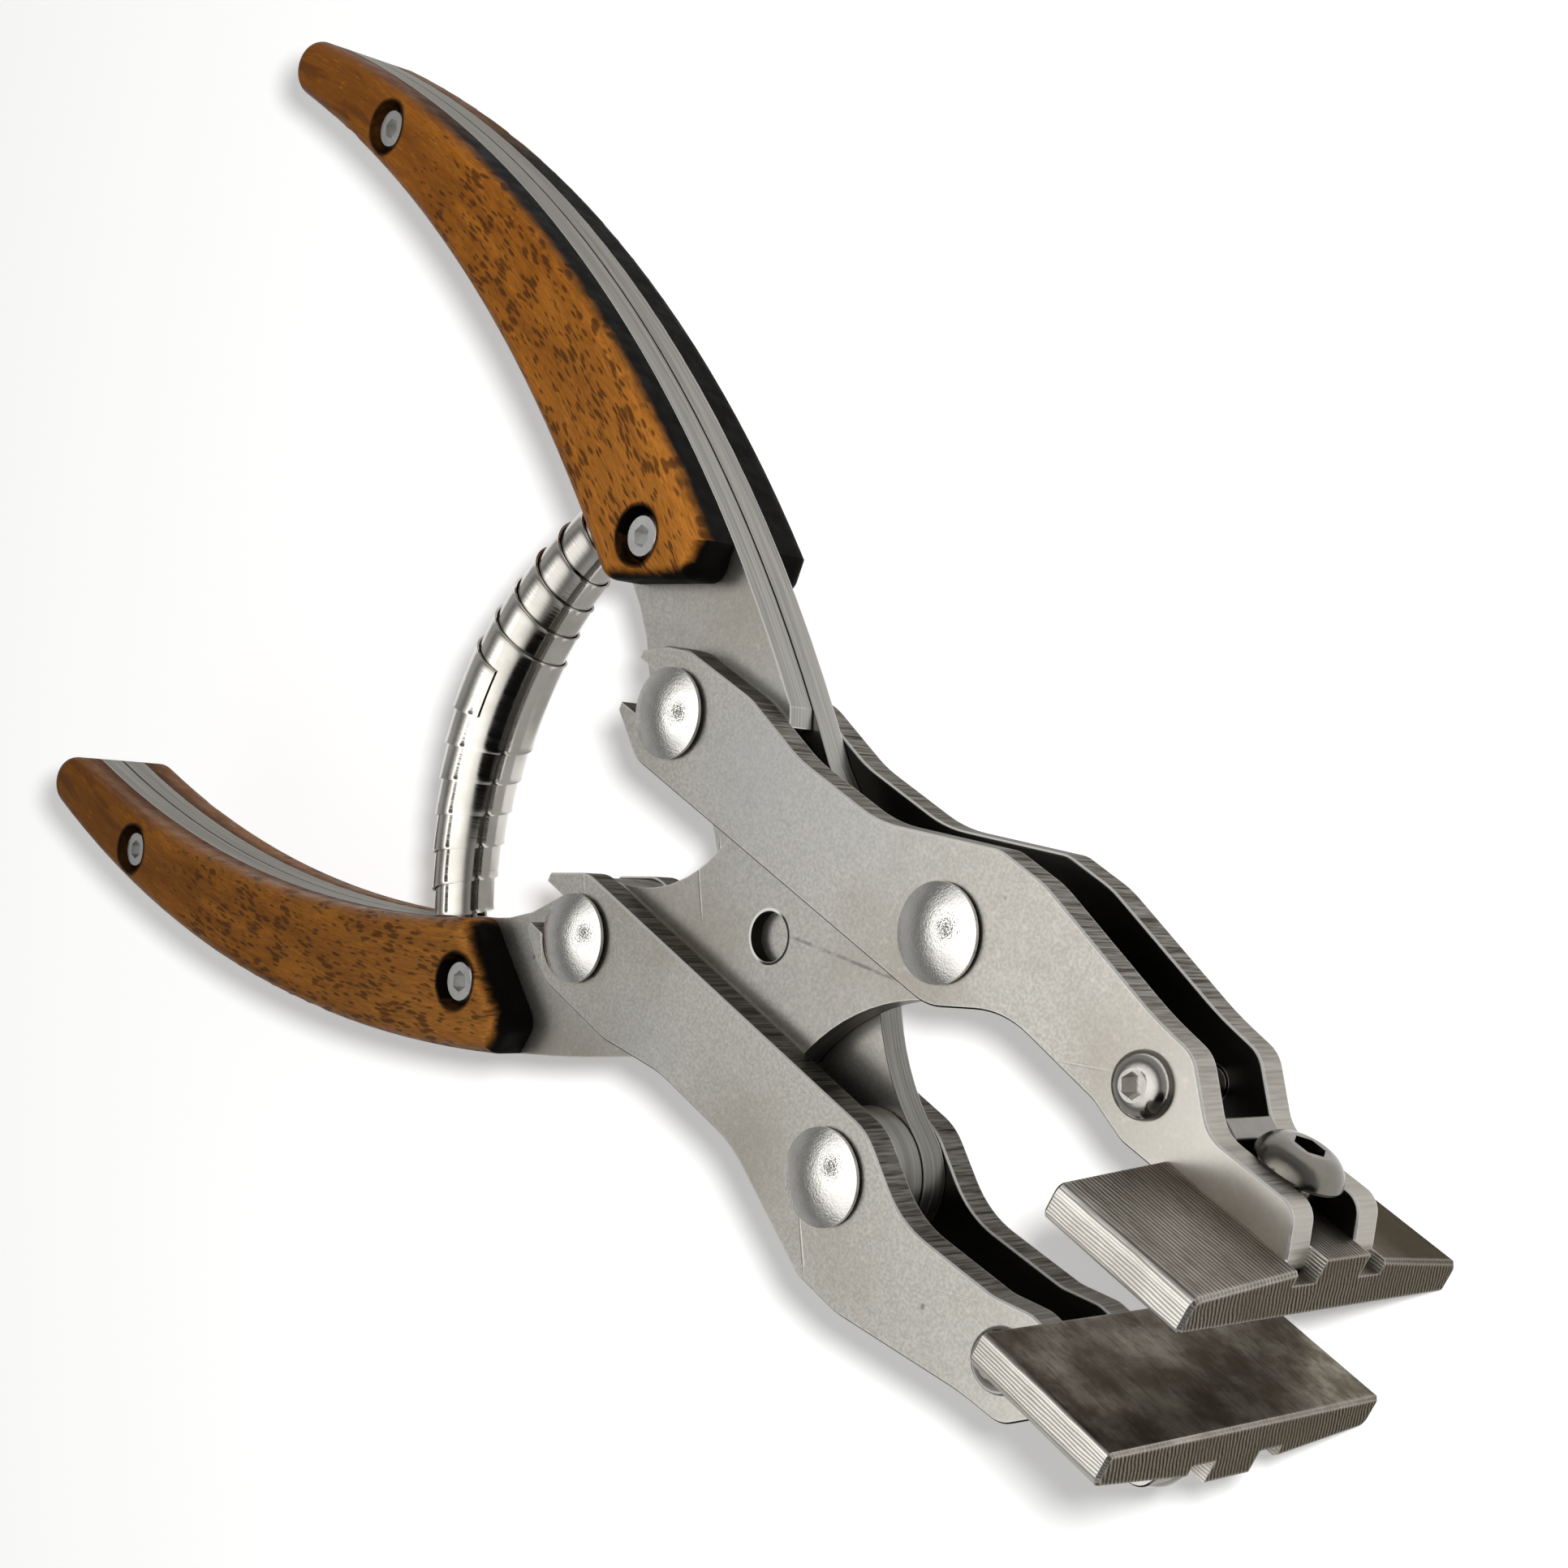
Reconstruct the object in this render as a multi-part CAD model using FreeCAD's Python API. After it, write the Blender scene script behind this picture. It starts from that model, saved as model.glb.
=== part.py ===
import FreeCAD, Part
import math
import os

os.makedirs("parts", exist_ok=True)

# Parallel-action wide-jaw pliers, in millimetres, lying on their side.
# +X runs to the jaw tips, +Y to the upper jaw and handle, +Z up through the plates.
# Shapes are drawn around the centre pivot, at mid-thickness, with the handles fully open.
# Every piece of the lower half is its upper twin turned half a turn about X.

V = FreeCAD.Vector
O = V(0, 0, 0)
UP = V(0, 0, 1)

# ---------------------------------------------------------------- driving dimensions
arm = 23.85             # centre pivot to each of the four big rivets
open_angle = 32.15      # each lever's angle from the X axis with the handles fully open, degrees
pad_gap = 10.8          # between the pads' working faces, fully open
closed_gap = 0.3        # between the pads' working faces, fully closed

plate = 3.0             # every steel plate
lever_gap = 0.1         # between the two crossing levers
jaw_gap = 0.1           # between a lever and the jaw plate beside it
edge_break = 0.15       # bevel round the jaw plates
edge_share = 0.98       # of an edge too short for its two rounded corners, what they may take up
hub_round = 1.8         # corners of a lever's hub
front_hollow_r = 22.8   # hollow edge between a lever's hub and its eye
rear_hollow_r = 16.1    # hollow edge between a lever's hub and its rear rivet

pin_d = 4.8             # rivet shanks and centre pin
running = 0.05          # radial clearance where a lever turns on a pin
sliding = 0.06          # radial clearance of a rivet in the jaw's slot
eye_r = 6.15            # round eye of a lever about a rivet, and its spacer
slot_tail = 7.2         # slot mouth behind the rear rivet, fully open

rivet_head_d = 8.9
rivet_rim = 0.35        # straight edge of the domed head
rivet_dome = 0.95       # rise of the dome above that edge
collar_d = 6.6          # collar that holds the head off the plate
collar_h = 0.3
slide_gap = 0.1         # under the collars of the sliding rivets
centre_pin_sink = 1.4   # pin face below the lever's face

bow_r = 169.5           # both long edges of a grip
grip_len = 95.7         # rear rivet to the middle of the handle's round tip, along X
grip_rise = 35.25       # the same, along Y
tip_r = 3.25

scale_t = 4.8           # wood thickness
scale_round = 2.0       # round-over of the wood
scale_end_round = 2.0
scale_bore_d = 5.8      # counterbore for the screw heads
scale_bore_depth = 3.2
scale_shank_hole_d = 2.8
scale_screw_d = 2.5
scale_head_d = 4.5
scale_head_h = 2.5
scale_socket = 2.0
barrel_d = 4.2
barrel_gap = 0.4        # screw end to the middle of the barrel

pad_len = 14.5
pad_w = 37.5
pad_end_t = 3.1         # pad thickness at its two side ends
pad_mid_t = 4.35        # pad thickness beside the grooves
rib_h = 2.1             # rib between the grooves, above their floor
groove_fit = 0.05       # clearance each side of a jaw plate in its groove
seat_t = 3.15           # metal left under the grooves
pad_break = 0.5

nose_reach = 1.4        # pad's front edge beyond the jaw plates
head_seat = 8.2         # pad face to the flat that the pad screw's head bears on
pad_screw_d = 4.0
pad_head_bite = 0.65    # how far the pad screw's head reaches over each jaw plate
pad_head_h = 2.2
pad_socket = 2.5
pad_screw_floor = 1.0   # metal left under the pad screw's hole

cross_x = 11.85         # cross screw behind the pad's centre
cross_y = 8.2           # cross screw above the pad's working face
cross_d = 3.0
cross_hole = 0.1        # radial clearance of the cross screw in the plates
cross_head_d = 5.7
cross_head_h = 1.65
cross_socket = 2.0
nut_flats = 5.5
nut_h = 2.4

bar_t = 2.0             # nose bar, along X
bar_clear = 0.3         # behind the pad screw's head
bar_lift = 0.5          # its underside above the pad's rib
bar_round = 0.3

spring_seat = 23.6      # spring end behind the rear rivet, along X
spring_bulge = 7.2      # how far the spring bows backwards
spring_over = 0.1       # the spring ends' edges beyond the faces of the grip plates
spring_mid_r = 4.9
spring_strip = 0.5
spring_turns = 13
spring_gap = 0.15       # between the spring's ends and the handles
peg_d = 3.0
peg_out = 3.5
peg_in = 4.0

# ---------------------------------------------------------------- derived positions
pin_x = arm * math.cos(math.radians(open_angle))
pin_y = arm * math.sin(math.radians(open_angle))
pin_r = pin_d / 2
rear = V(-pin_x, pin_y, 0)          # upper handle's rivet, in the upper jaw's slot
front = V(pin_x, pin_y, 0)          # upper jaw's rivet, in the lower lever's eye

lever_in = lever_gap / 2
lever_out = lever_in + plate
jaw_in = lever_out + jaw_gap
jaw_out = jaw_in + plate

face_y = pad_gap / 2
seat_y = face_y + seat_t
pad_x0 = front.x + 29.05
pad_x1 = pad_x0 + pad_len
pad_x = (pad_x0 + pad_x1) / 2
head_y = face_y + head_seat
scale_top = lever_out + scale_t
pad_head_d = 2 * (jaw_in + pad_head_bite)
spring_end_r = lever_out + spring_over

travel = 2 * (open_angle - math.degrees(math.asin((pin_y - (pad_gap - closed_gap) / 2) / arm)))


# ---------------------------------------------------------------- drawing helpers
def at(anchor, dx, dy):
    return V(anchor.x + dx, anchor.y + dy, 0)


def flip(shape):
    """Turn a piece of the upper half over to make its lower twin."""
    twin = shape.copy()
    twin.rotate(O, V(1, 0, 0), 180)
    return twin


def arc_mid(a, b, radius):
    """Middle of the shorter arc from a to b; a positive radius bends to the left."""
    half = a.distanceToPoint(b) / 2
    sag = abs(radius) - math.sqrt(radius * radius - half * half)
    left = V(a.y - b.y, b.x - a.x, 0).normalize()
    side = -1 if radius > 0 else 1
    return (a + b) * 0.5 + left * (side * sag)


def chain(start, steps):
    """Closed face from a start point and steps of (end, radius), radius 0 for a straight edge."""
    edges = []
    here = start
    for end, radius in steps:
        if radius:
            edges.append(Part.Arc(here, arc_mid(here, end, radius), end).toShape())
        else:
            edges.append(Part.makeLine(here, end))
        here = end
    return Part.Face(Part.Wire(edges))


def rounded(corners):
    """Closed face through corners of (x, y, radius); two that meet on a short edge shrink to fit it."""
    count = len(corners)
    points = [V(x, y, 0) for x, y, radius in corners]
    halves = []
    reaches = []
    for i in range(count):
        before = points[i - 1] - points[i]
        after = points[(i + 1) % count] - points[i]
        halves.append(before.getAngle(after) / 2)
        reaches.append(corners[i][2] / math.tan(halves[i]))
    for i in range(count):
        side = points[i - 1].distanceToPoint(points[i])
        wanted = reaches[i - 1] + reaches[i]
        if wanted > side:
            reaches[i - 1] *= edge_share * side / wanted
            reaches[i] *= edge_share * side / wanted
    steps = []
    for i in range(count):
        before = (points[i - 1] - points[i]).normalize()
        after = (points[(i + 1) % count] - points[i]).normalize()
        bend = reaches[i] * math.tan(halves[i])
        steps.append((points[i] + before * reaches[i], 0))
        if bend > 1e-6:
            steps.append((points[i] + after * reaches[i], -bend if before.cross(after).z > 0 else bend))
    start = steps[0][0]
    return chain(start, steps[1:] + [(start, 0)])


def tangent_point(centre, r, outside):
    """Where a line from an outside point touches a circle, to the left of the way out to it."""
    away = outside - centre
    reach = math.atan2(away.y, away.x) + math.acos(r / away.Length)
    return V(centre.x + r * math.cos(reach), centre.y + r * math.sin(reach), 0)


def kiss(centre, r, through, big_r, inside=False):
    """Where a big circle through a point touches a small one, from outside or from around it.

    The big circle's centre lies to the right of the way from the small circle to the point."""
    reach = big_r - r if inside else big_r + r
    way = through - centre
    along = (reach ** 2 - big_r ** 2 + way.Length ** 2) / (2 * way.Length)
    off = math.sqrt(reach ** 2 - along ** 2)
    way.normalize()
    big_centre = centre + way * along + V(way.y, -way.x, 0) * off
    to_touch = (centre - big_centre) if inside else (big_centre - centre)
    return centre + to_touch.normalize() * r


def slab(face, z0, z1):
    """Flat plate between two heights from a face drawn at z = 0."""
    raised = face.copy()
    raised.translate(V(0, 0, z0))
    return raised.extrude(V(0, 0, z1 - z0))


def rod(r, z0, z1, centre=O):
    return Part.makeCylinder(r, z1 - z0, V(centre.x, centre.y, z0), UP)


def hexagon(flats, z0, z1, centre=O):
    """Six-sided prism along Z."""
    r = flats / math.sqrt(3)
    ring = []
    for k in range(7):
        turn = math.radians(60 * k)
        ring.append(V(centre.x + r * math.cos(turn), centre.y + r * math.sin(turn), z0))
    return Part.Face(Part.makePolygon(ring)).extrude(V(0, 0, z1 - z0))


def edges_near(solid, points, tolerance=0.6):
    """Edges along Z that stand within the tolerance of any of the points."""
    found = []
    for edge in solid.Edges:
        a = edge.Vertexes[0].Point
        b = edge.Vertexes[-1].Point
        upright = abs(a.x - b.x) < 1e-6 and abs(a.y - b.y) < 1e-6 and abs(a.z - b.z) > 1e-3
        if upright and any(math.hypot(a.x - p.x, a.y - p.y) < tolerance for p in points):
            found.append(edge)
    return found


def broken_edges(solid, z0, z1):
    """The plate with its rims at both faces bevelled."""
    rims = []
    for z in (z0, z1):
        rims += [e for e in solid.Edges if max(abs(v.Z - z) for v in e.Vertexes) < 1e-6]
    return solid.makeChamfer(edge_break, rims)


def button_screw(shank_d, shank_len, head_d, head_h, socket):
    """Domed hex-socket screw standing on z = 0, shank downwards."""
    head_r = head_d / 2
    crown_r = head_r * 0.48
    rim = V(head_r, 0, 0.12 * head_h)
    crown = V(crown_r, 0, head_h)
    bulge = V(head_r * 0.85, 0, head_h * 0.68)
    outline = [Part.makeLine(V(0, 0, 0), V(head_r - 0.1, 0, 0)),
               Part.makeLine(V(head_r - 0.1, 0, 0), rim),
               Part.Arc(rim, bulge, crown).toShape(),
               Part.makeLine(crown, V(0, 0, head_h)),
               Part.makeLine(V(0, 0, head_h), V(0, 0, 0))]
    head = Part.Face(Part.Wire(outline)).revolve(O, UP, 360)
    head = head.cut(hexagon(socket, head_h * 0.35, head_h + 1))
    shank = Part.makeCylinder(shank_d / 2, shank_len, V(0, 0, -shank_len), UP)
    return head.fuse(shank).removeSplitter()


def nut(z0):
    body = hexagon(nut_flats, z0, z0 + nut_h).cut(rod(cross_d / 2, z0 - 1, z0 + nut_h + 1))
    crown = Part.makeCone(nut_flats * 0.62, nut_flats * 0.5, nut_h * 0.22, V(0, 0, z0 + nut_h * 0.78), UP)
    barrel = rod(nut_flats * 0.62, z0, z0 + nut_h * 0.78).fuse(crown)
    return body.common(barrel).removeSplitter()


def rivet(reach):
    """Shank with a domed head at each end, its collars starting at the given distance each way."""
    dome_r = ((rivet_head_d / 2) ** 2 + rivet_dome ** 2) / (2 * rivet_dome)
    top = reach + collar_h + rivet_rim + rivet_dome
    ball = Part.makeSphere(dome_r, V(0, 0, top - dome_r))
    head = rod(rivet_head_d / 2, reach + collar_h, top).common(ball)
    head = head.fuse(rod(collar_d / 2, reach, reach + collar_h))
    both = head.fuse(flip(head)).fuse(rod(pin_r, -reach, reach))
    return both.removeSplitter()


# ---------------------------------------------------------------- grips and levers (upper handle)
tip = at(rear, -grip_len, grip_rise)
shoulder = at(O, -4.7, pin_y + 3.4)     # end of the grip's outer edge, under the jaw plate
grip_throat = at(rear, -13.4, 5.65)     # where the grip's inner edge turns in to the rivet
throat_end = at(rear, -10.6, 3.3)
tip_top = kiss(tip, tip_r, shoulder, bow_r, inside=True)
tip_end = at(tip, -tip_r, 0)
tip_low = kiss(tip, tip_r, grip_throat, bow_r)
hub_top = at(O, 9.2, 8.2)
hub_low = at(O, -9.3, -10.8)
eye_low = kiss(rear, eye_r, hub_low, rear_hollow_r)
eye_side = tangent_point(rear, eye_r, throat_end)


def bow_point(a, b, radius, x):
    """Point at x on the shorter arc of the given radius from a to b."""
    mid = arc_mid(a, b, radius)
    circle = Part.Arc(a, mid, b).toShape().Curve
    rise = math.sqrt(circle.Radius ** 2 - (x - circle.Center.x) ** 2)
    return V(x, circle.Center.y + rise, 0)


def grip_back():
    """Steps of a grip's outline from its throat round the tip, ready for the outer edge."""
    return [(tip_low, bow_r), (tip_end, -tip_r), (tip_top, -tip_r)]


def lever_face():
    """Crossing lever: grip, hub with a hollow edge front and rear, and the eye at its front end."""
    eye = V(pin_x, -pin_y, 0)
    return chain(grip_throat, grip_back() + [
        (shoulder, -bow_r),
        (hub_top, 0),
        (kiss(eye, eye_r, hub_top, front_hollow_r), front_hollow_r),
        (at(eye, eye_r, 0), -eye_r),
        (at(eye, 0, -eye_r), -eye_r),
        (tangent_point(eye, eye_r, hub_low), -eye_r),
        (hub_low, 0),
        (eye_low, rear_hollow_r),
        (eye_side, -eye_r),
        (throat_end, 0),
        (grip_throat, 0)])


def doubler_face():
    """Second plate of a grip, ending in front of the rear rivet."""
    end = bow_point(tip_top, shoulder, -bow_r, -9.3)
    return chain(grip_throat, grip_back() + [
        (end, -bow_r),
        (at(end, 1.0, -1.7), 0),
        (at(rear, eye_r, 0), 0),
        (at(rear, 0, -eye_r), -eye_r),
        (eye_side, -eye_r),
        (throat_end, 0),
        (grip_throat, 0)])


def scale_face():
    """Wood grip scale: the grip's own edges, cut off square-ish short of the rivet."""
    nose_top = bow_point(tip_top, shoulder, -bow_r, rear.x - 4.2)
    inner = bow_point(tip_low, grip_throat, -bow_r, rear.x - 15.4)
    return chain(inner, [
        (tip_low, bow_r),
        (tip_end, -tip_r),
        (tip_top, -tip_r),
        (nose_top, -bow_r),
        (at(rear, -3.7, 12.6), 0),
        (inner, 0)])


def mid_grip(x):
    """Middle of the grip's width at x."""
    top = bow_point(tip_top, shoulder, -bow_r, x)
    low = bow_point(tip_low, grip_throat, -bow_r, x)
    return (top + low) * 0.5


screw_spots = [mid_grip(rear.x - 12.5), mid_grip(rear.x - 76.2)]


# ---------------------------------------------------------------- handle pieces (upper handle)
seat = bow_point(tip_low, grip_throat, -bow_r, rear.x - spring_seat)
bow_mid = arc_mid(tip_low, grip_throat, -bow_r)
bow_centre = Part.Arc(tip_low, bow_mid, grip_throat).toShape().Curve.Center
inward = (bow_centre - seat).normalize()


def grip_holes():
    """Rivet, barrel and peg holes that run through both plates of a grip."""
    holes = [rod(pin_r, -lever_out - 1, lever_out + 1, rear)]
    holes += [rod(barrel_d / 2, -lever_out - 1, lever_out + 1, spot) for spot in screw_spots]
    holes.append(Part.makeCylinder(peg_d / 2, peg_in + 1, seat + inward, inward * -1))
    return holes


def lever(centre_r):
    body = slab(lever_face(), -lever_out, -lever_in)
    body = body.makeFillet(hub_round, edges_near(body, [hub_top, hub_low]))
    turning = [rod(centre_r, -lever_out - 1, lever_out),
               rod(pin_r + running, -lever_out - 1, lever_out, V(pin_x, -pin_y, 0))]
    return body.cut(grip_holes() + turning)


def doubler():
    return slab(doubler_face(), lever_in, lever_out).cut(grip_holes())


def scale():
    """Front wood scale with its face rounded over and two counterbored screw holes."""
    block = slab(scale_face(), lever_out, scale_top)
    corners = edges_near(block, [at(rear, -15.4, 6.6), at(rear, -3.7, 12.6)], 0.9)
    block = block.makeFillet(scale_end_round, corners)
    rim = [e for e in block.Edges if min(v.Z for v in e.Vertexes) > scale_top - 1e-6]
    block = block.makeFillet(scale_round, rim)
    for spot in screw_spots:
        block = block.cut(rod(scale_bore_d / 2, scale_top - scale_bore_depth, scale_top + 1, spot))
        block = block.cut(rod(scale_shank_hole_d / 2, lever_out - 1, scale_top, spot))
    return block


def socket_screw():
    """Cylinder-head hex-socket screw standing on z = 0, shank downwards."""
    head = rod(scale_head_d / 2, 0, scale_head_h)
    rim = [e for e in head.Edges if min(v.Z for v in e.Vertexes) > scale_head_h - 1e-6]
    head = head.makeChamfer(0.25, rim)
    head = head.cut(hexagon(scale_socket, scale_head_h * 0.45, scale_head_h + 1))
    floor = scale_top - scale_bore_depth
    return head.fuse(rod(scale_screw_d / 2, barrel_gap - floor, 0)).removeSplitter()


def front_scale_screws():
    screws = []
    for spot in screw_spots:
        one = socket_screw()
        one.translate(V(spot.x, spot.y, scale_top - scale_bore_depth))
        screws.append(one)
    return Part.Compound(screws)


def barrels():
    half = lever_out - lever_in
    return Part.Compound([rod(barrel_d / 2, -half, half, s).cut(rod(scale_screw_d / 2, -half, half, s))
                          for s in screw_spots])


def peg():
    body = Part.makeCylinder(peg_d / 2, peg_in + peg_out, seat - inward * peg_in, inward)
    far = seat + inward * peg_out
    return body.makeChamfer(0.4, [e for e in body.Edges if e.CenterOfMass.distanceToPoint(far) < 0.1])


def in_front_and_back(name, shape):
    """A piece on the front face and its mirror image on the back face."""
    return {name % "front": shape, name % "back": shape.mirror(O, UP)}


# ---------------------------------------------------------------- jaw pieces (upper jaw)
cross = V(pad_x - cross_x, face_y + cross_y, 0)


def jaw_face():
    """Side plate of a jaw: hooked rear end, waist, and the nose that seats in the pad."""
    low = pin_y - 6.22
    nose_x = pad_x1 - nose_reach
    return rounded([
        (rear.x - 2.3, low, 4.0),
        (rear.x - slot_tail, pin_y - 3.34, 0.4),
        (rear.x - slot_tail, pin_y + 3.21, 0.4),
        (rear.x - 4.1, pin_y + 5.31, 3.0),
        (rear.x - 1.3, pin_y + 6.21, 4.0),
        (rear.x + 8.7, pin_y + 6.21, 8.0),
        (rear.x + 17.2, pin_y + 4.46, 14.0),
        (front.x - 11.6, pin_y + 4.46, 14.0),
        (front.x + 1.8, pin_y + 9.31, 3.0),
        (front.x + 7.4, pin_y + 9.26, 10.0),
        (cross.x - 2.2, head_y + 5.1, 30.0),
        (cross.x + 2.65, head_y + 4.6, 3.0),
        (pad_x - 4.9, head_y, 3.5),
        (nose_x - 1.5, head_y, 2.0),
        (nose_x, head_y - 3.8, 3.0),
        (nose_x, seat_y, 0.5),
        (pad_x0 - 4.2, seat_y, 3.0),
        (pad_x0 - 8.2, seat_y + 1.2, 5.0),
        (front.x + 9.3, seat_y + 2.2, 10.0),
        (front.x + 1.9, low, 6.0)])


def slot(z0, z1):
    """Open-ended slot for the rear rivet; its closed end stops the handles fully open."""
    r = pin_r + sliding
    run = slot_tail + 5
    return rod(r, z0, z1, rear).fuse(Part.makeBox(run, 2 * r, z1 - z0, V(rear.x - run, rear.y - r, z0)))


def jaw_plate():
    body = broken_edges(slab(jaw_face(), jaw_in, jaw_out), jaw_in, jaw_out)
    return body.cut([slot(jaw_in - 1, jaw_out + 1),
                     rod(pin_r, jaw_in - 1, jaw_out + 1, front),
                     rod(cross_d / 2 + cross_hole, jaw_in - 1, jaw_out + 1, cross)])


def front_spacer():
    return rod(eye_r, -lever_out, -lever_in, front).cut(rod(pin_r, -lever_out, -lever_in, front))


def nose_bar():
    x1 = pad_x - pad_head_d / 2 - bar_clear
    x0 = x1 - bar_t
    low = seat_y + rib_h + bar_lift
    return slab(rounded([
        (x0, low, bar_round),
        (x1, low, bar_round),
        (x1, head_y + 0.1, bar_round),
        (x0, head_y + 1.05, bar_round)]), -jaw_in, jaw_in)


def pad():
    """Wide pad: flat working face, two grooves for the jaw plates, a rib for the screw between them."""
    half = pad_w / 2
    shelf = jaw_out + groove_fit + 0.3
    block = slab(rounded([
        (-half, face_y, pad_break),
        (half, face_y, pad_break),
        (half, face_y + pad_end_t, 1.1),
        (shelf, face_y + pad_mid_t, 0),
        (-shelf, face_y + pad_mid_t, 0),
        (-half, face_y + pad_end_t, 1.1)]), 0, pad_len)
    ends = [e for e in block.Edges if max(abs(v.Z) for v in e.Vertexes) < 1e-6
            or min(v.Z for v in e.Vertexes) > pad_len - 1e-6]
    block = block.makeChamfer(pad_break * 0.6, ends)
    block.rotate(O, V(0, 1, 0), 90)
    block.translate(V(pad_x0, 0, 0))
    rib_half = jaw_in - groove_fit
    groove_w = plate + 2 * groove_fit
    rib_top = seat_y + rib_h
    rib = Part.makeBox(pad_len, rib_top - seat_y, 2 * rib_half, V(pad_x0, seat_y, -rib_half))
    grooves = [Part.makeBox(pad_len + 2, 20, groove_w, V(pad_x0 - 1, seat_y, z))
               for z in (rib_half, -rib_half - groove_w)]
    hole = Part.makeCylinder(pad_screw_d / 2, 20, V(pad_x, face_y + pad_screw_floor, 0), V(0, 1, 0))
    return block.fuse(rib).cut(grooves + [hole]).removeSplitter()


def pad_screw():
    screw = button_screw(pad_screw_d, head_y - face_y - pad_screw_floor, pad_head_d, pad_head_h, pad_socket)
    screw.rotate(O, V(1, 0, 0), -90)
    screw.translate(V(pad_x, head_y, 0))
    return screw


def cross_set(side):
    """Cross screw and its two nuts; the head is in front on both jaws, so only y changes sides."""
    screw = button_screw(cross_d, 2 * jaw_out + nut_h + 0.6, cross_head_d, cross_head_h, cross_socket)
    screw.translate(V(0, 0, jaw_out))
    pieces = {"cross_screw": screw,
              "cross_inner_nut": flip(nut(-jaw_in)),
              "cross_outer_nut": flip(nut(jaw_out))}
    for piece in pieces.values():
        piece.translate(V(cross.x, side * cross.y, 0))
    return pieces


# ---------------------------------------------------------------- spring
def volute_spring():
    """Bowed strip spring: short rings that step up in size to the middle, cut to fit the grips."""
    bulge = V(seat.x - spring_bulge, 0, 0)
    bow = (seat.y ** 2 + spring_bulge ** 2) / (2 * spring_bulge)
    centre = V(bulge.x + bow, 0, 0)
    half_angle = math.degrees(math.asin(seat.y / bow)) + math.degrees(1.0 / bow)
    step = 2 * half_angle / spring_turns
    overlap = math.degrees(0.15 / bow)
    middle = (spring_turns - 1) / 2
    outside = []
    inside = []
    for k in range(spring_turns):
        r = spring_mid_r - (spring_mid_r - spring_end_r) * abs(k - middle) / middle
        start = -half_angle + k * step - overlap
        for rings, ring_r in ((outside, r), (inside, r - spring_strip)):
            disc = Part.Face(Part.Wire(Part.makeCircle(ring_r, bulge, V(0, 1, 0))))
            disc.rotate(centre, UP, start)
            rings.append(disc.revolve(centre, UP, step + 2 * overlap))
    rings = [a.cut(b) for a, b in zip(outside, inside)]
    body = rings[0].fuse(rings[1:])
    upper_grip = slab(doubler_face(), -scale_top, scale_top)
    lower_grip = flip(upper_grip)
    upper_grip.translate(inward * spring_gap)
    return body.cut([upper_grip, lower_grip])


# ---------------------------------------------------------------- all the pieces
def handle_pieces(centre_r):
    pieces = {"lever": lever(centre_r), "doubler": doubler(), "scale_barrels": barrels(),
              "spring_peg": peg(), "rear_rivet": rivet(jaw_out + slide_gap)}
    pieces["rear_rivet"].translate(rear)
    pieces.update(in_front_and_back("%s_scale", scale()))
    pieces.update(in_front_and_back("%s_scale_screws", front_scale_screws()))
    return pieces


def jaw_pieces():
    pieces = {"front_rivet": rivet(jaw_out), "front_spacer": front_spacer(),
              "nose_bar": nose_bar(), "pad": pad(), "pad_screw": pad_screw()}
    pieces["front_rivet"].translate(front)
    pieces.update(in_front_and_back("jaw_%s_plate", jaw_plate()))
    return pieces


def turned(pieces):
    """Lower twins of a set of upper pieces; what was in front is now at the back."""
    swap = {"front_scale": "back_scale", "back_scale": "front_scale",
            "front_scale_screws": "back_scale_screws", "back_scale_screws": "front_scale_screws",
            "jaw_front_plate": "jaw_back_plate", "jaw_back_plate": "jaw_front_plate"}
    return {swap.get(name, name): flip(shape) for name, shape in pieces.items()}


upper = handle_pieces(pin_r + running)
lower = turned(handle_pieces(pin_r))
upper.update(jaw_pieces())
lower.update(turned(jaw_pieces()))
upper.update(cross_set(1))
lower.update(cross_set(-1))

nodes = {"upper_" + name: shape for name, shape in upper.items()}
nodes.update({"lower_" + name: shape for name, shape in lower.items()})
pin_half = lever_out - centre_pin_sink
nodes["centre_pivot_pin"] = rod(pin_r, -pin_half, pin_half)
nodes["volute_spring"] = volute_spring()

# ---------------------------------------------------------------- shared frame and export
box = Part.Compound(list(nodes.values())).optimalBoundingBox(False, False)
shift = V(-(box.XMin + box.XMax) / 2, -(box.YMin + box.YMax) / 2, -box.ZMin)
for name, shape in sorted(nodes.items()):
    placed = shape.copy()
    placed.translate(shift)
    placed.exportStep("parts/" + name + ".step")
    report = (name, len(placed.Solids), placed.Volume, placed.isValid())
    print("%-26s solids %d  volume %9.2f  valid %s" % report)

print("nodes", len(nodes))
print("size %.3f %.3f %.3f" % (box.XLength, box.YLength, box.ZLength))
print("shift %.4f %.4f %.4f" % (shift.x, shift.y, shift.z))
print("travel %.3f degrees" % travel)
marks = {"centre": O, "upper rear": rear, "front": front, "spring seat": seat, "cross": cross,
         "pad": V(pad_x, face_y, 0), "screw 1": screw_spots[0], "screw 2": screw_spots[1],
         "tip": tip, "inward": inward}
for name, point in marks.items():
    print("mark %-12s %.4f %.4f" % (name, point.x, point.y))
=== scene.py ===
# %% [markdown]
# # Parallel-action wide-jaw pliers
# A hand tool for pressing and clamping glued leather edges. Two levers cross on a plain
# centre pin. Each jaw is a pair of flat plates: its front rivet turns in one lever's eye,
# and the other lever's rivet slides in an open slot at its rear, so the two wide pads
# stay parallel as they close. A bowed strip spring holds the handles apart.
#
# The shapes come from the solid model. This script gives every piece its finish, builds
# the wound spring, and sets up the floor, lights and camera.

# %% Load the solid model as the fixed frame
import math

import bpy
from mathutils import Matrix, Vector


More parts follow.
